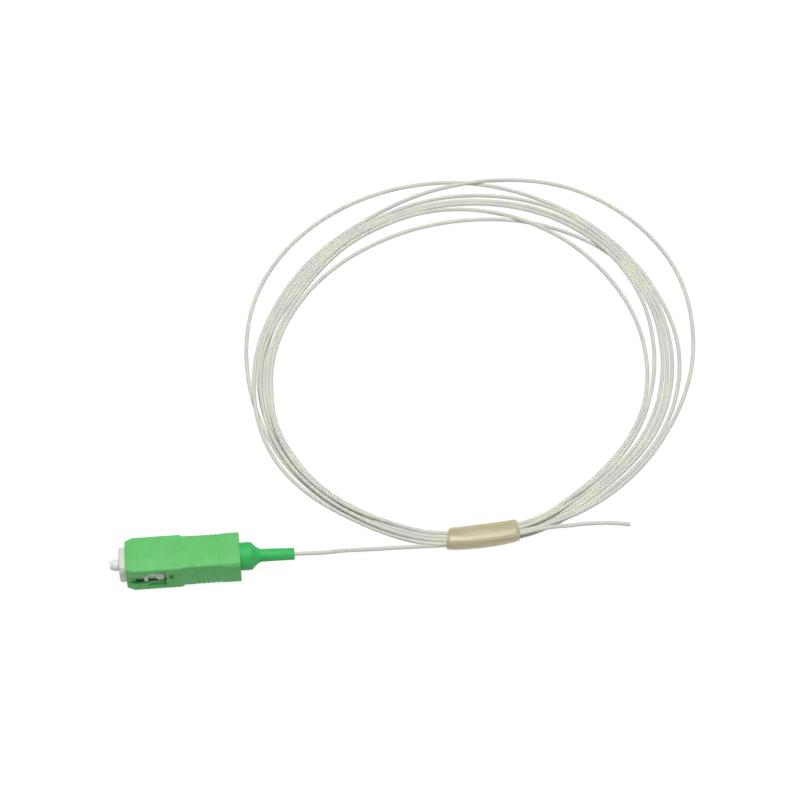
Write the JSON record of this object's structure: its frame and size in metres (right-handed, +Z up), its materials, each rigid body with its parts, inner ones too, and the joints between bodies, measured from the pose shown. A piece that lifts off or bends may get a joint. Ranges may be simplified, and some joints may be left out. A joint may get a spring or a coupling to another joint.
{
  "type": "fibre optic pigtail",
  "caption": "Coiled buffered optical fibre with a green angled push-pull plug on one end, a bare cut end on the other, and a short sleeve tying the coil.",
  "frame": {"origin": "middle of the plug's length and width, on the level surface that its key and the coil lie on", "axes": "+X along the plug from its ferrule towards the fibre, +Y across the plug towards the coil's middle, +Z up"},
  "size_m": [0.1373, 0.1102, 0.0083],
  "materials": {
    "green_plastic": "moulded, light satin",
    "white_plastic": "moulded, light satin",
    "green_rubber": "soft satin",
    "zirconia": "ground and polished",
    "plated_brass": "nickel plated",
    "spring_steel": "drawn wire",
    "fibre_buffer": "translucent extruded coating",
    "tie_plastic": "translucent soft tubing"
  },
  "bodies": {
    "plug": {"plug_frame": "white_plastic", "back_post": "plated_brass", "boot": "green_rubber", "ferrule_spring": "spring_steel", "fibre_lead": "fibre_buffer", "fibre_coil": "fibre_buffer", "fibre_tail": "fibre_buffer", "coil_tie": "tie_plastic"},
    "grip": {"coupling_sleeve": "green_plastic"},
    "ferrule_assembly": {"ferrule": "zirconia", "ferrule_flange": "plated_brass"}
  },
  "joints": [
    {"name": "grip_slide", "type": "slide", "parent": "plug", "child": "grip", "axis": [1, 0, 0], "range_m": [-0.0003, 0.0013]},
    {"name": "ferrule_slide", "type": "slide", "parent": "plug", "child": "ferrule_assembly", "axis": [1, 0, 0], "range_m": [0, 0.0015], "stiffness_N_per_m": 2000, "deforming": ["ferrule_spring"]}
  ]
}
